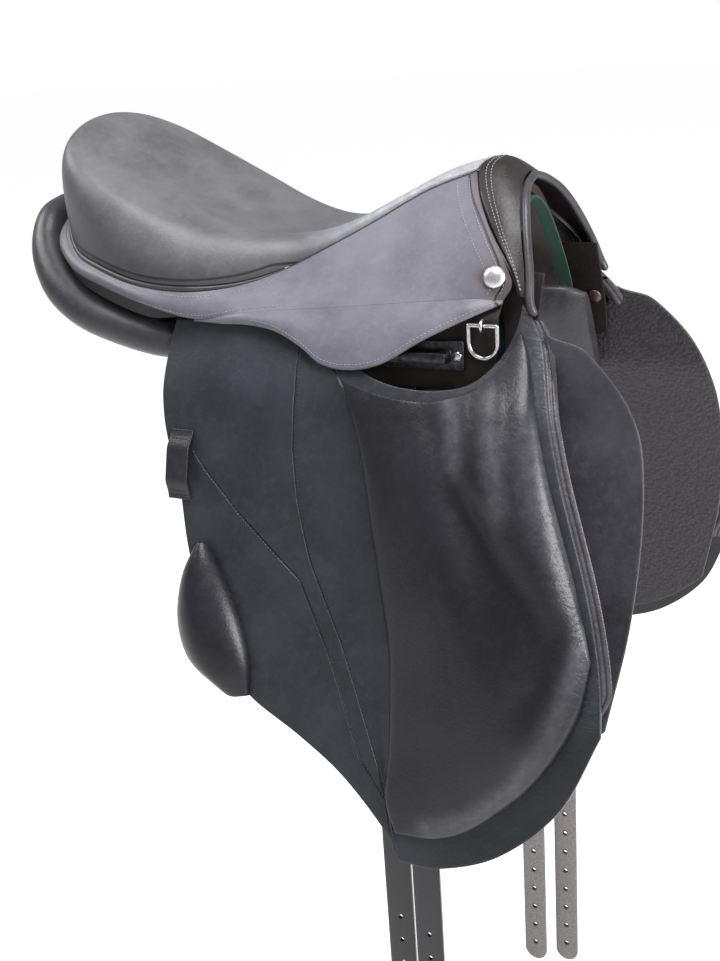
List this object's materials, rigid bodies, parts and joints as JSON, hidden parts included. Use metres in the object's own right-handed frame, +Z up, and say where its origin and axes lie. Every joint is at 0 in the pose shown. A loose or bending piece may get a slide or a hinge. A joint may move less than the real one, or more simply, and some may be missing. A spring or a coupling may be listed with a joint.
{
  "type": "jumping saddle",
  "caption": "Close-contact jumping saddle with a deep seat, forward flaps with padded blocks, a fold-up skirt over the stirrup bar, and long girth straps.",
  "frame": {"origin": "on the middle plane, below the waist of the seat, where the horse's back lies between the panels", "axes": "+X towards the pommel, +Y to the saddle's left side, +Z up"},
  "size_m": [0.6161, 0.4884, 0.9952],
  "materials": {
    "seat_leather": "smooth black calf with a soft sheen over foam",
    "skirt_leather": "firm smooth black leather, stitched near its edges, worn brown at the pommel seam",
    "flap_leather": "smooth black calf over firm backing, stitched seams",
    "block_leather": "soft black calf drawn over padding",
    "welt_leather": "thin black leather rolled over cord",
    "facing_leather": "matt black leather",
    "keeper_leather": "firm black leather with burnished edges",
    "sweat_leather": "black leather, pebbled on the side to the horse",
    "panel_leather": "soft black leather, stuffed",
    "strap_leather": "grey-taupe coated webbing-cored strap leather with round holes",
    "brown_lining": "dark brown lining leather",
    "green_felt": "matt green felt",
    "webbing": "plain woven linen webbing",
    "foam": "open-cell seat foam with a cloth skin",
    "tree_wood": "laminated beech under a scrim",
    "plate_steel": "rolled steel plate",
    "bar_steel": "forged steel, dulled",
    "rivet_nickel": "nickel-plated rivet head",
    "nail_nickel": "polished nickel dome, plain",
    "ring_nickel": "nickel-plated wire",
    "button_brass": "brown lacquered brass snap"
  },
  "bodies": {
    "saddle": {"seat_cover": "seat_leather", "seat_foam": "foam", "seat_webbing": "webbing", "tree_cantle": "tree_wood", "seat_welt": "welt_leather", "pommel_cover": "skirt_leather", "front_binding": "welt_leather", "tree_head": "tree_wood", "head_plate": "plate_steel", "arch_lining": "green_felt", "cantle_facing": "facing_leather", "cross_web": "webbing", "skirt_top_right": "skirt_leather", "sweat_flap_right": "sweat_leather", "panel_right": "panel_leather", "panel_gusset_right": "panel_leather", "tree_rail_right": "tree_wood", "bar_lining_right": "brown_lining", "stirrup_bar_right": "bar_steel", "bar_rivet_front_right": "rivet_nickel", "bar_rivet_rear_right": "rivet_nickel", "nail_head_right": "nail_nickel", "girth_web_right": "webbing", "ring_staple_right": "ring_nickel", "point_pocket_right": "brown_lining", "panel_button_right": "button_brass", "skirt_top_left": "skirt_leather", "sweat_flap_left": "sweat_leather", "panel_left": "panel_leather", "panel_gusset_left": "panel_leather", "tree_rail_left": "tree_wood", "bar_lining_left": "brown_lining", "stirrup_bar_left": "bar_steel", "bar_rivet_front_left": "rivet_nickel", "bar_rivet_rear_left": "rivet_nickel", "nail_head_left": "nail_nickel", "girth_web_left": "webbing", "ring_staple_left": "ring_nickel", "point_pocket_left": "brown_lining", "panel_button_left": "button_brass"},
    "flap_right": {"flap_right": "flap_leather", "knee_block_right": "block_leather", "thigh_block_right": "block_leather", "keeper_right": "keeper_leather", "flap_edging_right": "welt_leather"},
    "skirt_right": {"skirt_right": "skirt_leather"},
    "girth_strap_front_right": {"girth_strap_front_right": "strap_leather"},
    "girth_strap_rear_right": {"girth_strap_rear_right": "strap_leather"},
    "dee_ring_right": {"dee_ring_right": "ring_nickel"},
    "bar_catch_right": {"bar_catch_right": "bar_steel"},
    "flap_left": {"flap_left": "flap_leather", "knee_block_left": "block_leather", "thigh_block_left": "block_leather", "keeper_left": "keeper_leather", "flap_edging_left": "welt_leather"},
    "skirt_left": {"skirt_left": "skirt_leather"},
    "girth_strap_front_left": {"girth_strap_front_left": "strap_leather"},
    "girth_strap_rear_left": {"girth_strap_rear_left": "strap_leather"},
    "dee_ring_left": {"dee_ring_left": "ring_nickel"},
    "bar_catch_left": {"bar_catch_left": "bar_steel"}
  },
  "joints": [
    {"name": "flap_lift_right", "type": "hinge", "parent": "saddle", "child": "flap_right", "pos_m": [0.187, -0.09, 0.054], "axis": [-0.9909, -0.1133, -0.0731], "range_deg": [0, 45]},
    {"name": "skirt_lift_right", "type": "hinge", "parent": "flap_right", "child": "skirt_right", "pos_m": [0.187, -0.092, 0.054], "axis": [-0.9909, -0.1133, -0.0731], "range_deg": [0, 90]},
    {"name": "strap_swing_front_right", "type": "hinge", "parent": "saddle", "child": "girth_strap_front_right", "pos_m": [0.135, -0.101, 0.003], "axis": [0, 1, 0], "range_deg": [-5, 5]},
    {"name": "strap_swing_rear_right", "type": "hinge", "parent": "saddle", "child": "girth_strap_rear_right", "pos_m": [0.101, -0.101, 0.003], "axis": [0, 1, 0], "range_deg": [-5, 5]},
    {"name": "ring_swing_right", "type": "hinge", "parent": "saddle", "child": "dee_ring_right", "pos_m": [0.176, -0.1075, 0.0363], "axis": [-1, 0, 0], "range_deg": [0, 60]},
    {"name": "catch_turn_right", "type": "hinge", "parent": "saddle", "child": "bar_catch_right", "pos_m": [0.082, -0.1159, 0.0095], "axis": [0, -1, 0], "range_deg": [0, 85]},
    {"name": "flap_lift_left", "type": "hinge", "parent": "saddle", "child": "flap_left", "pos_m": [0.187, 0.09, 0.054], "axis": [0.9909, -0.1133, 0.0731], "range_deg": [0, 45]},
    {"name": "skirt_lift_left", "type": "hinge", "parent": "flap_left", "child": "skirt_left", "pos_m": [0.187, 0.092, 0.054], "axis": [0.9909, -0.1133, 0.0731], "range_deg": [0, 90]},
    {"name": "strap_swing_front_left", "type": "hinge", "parent": "saddle", "child": "girth_strap_front_left", "pos_m": [0.135, 0.101, 0.003], "axis": [0, 1, 0], "range_deg": [-5, 5]},
    {"name": "strap_swing_rear_left", "type": "hinge", "parent": "saddle", "child": "girth_strap_rear_left", "pos_m": [0.101, 0.101, 0.003], "axis": [0, 1, 0], "range_deg": [-5, 5]},
    {"name": "ring_swing_left", "type": "hinge", "parent": "saddle", "child": "dee_ring_left", "pos_m": [0.176, 0.1075, 0.0363], "axis": [1, 0, 0], "range_deg": [0, 60]},
    {"name": "catch_turn_left", "type": "hinge", "parent": "saddle", "child": "bar_catch_left", "pos_m": [0.082, 0.1159, 0.0095], "axis": [0, -1, 0], "range_deg": [0, 85]}
  ]
}
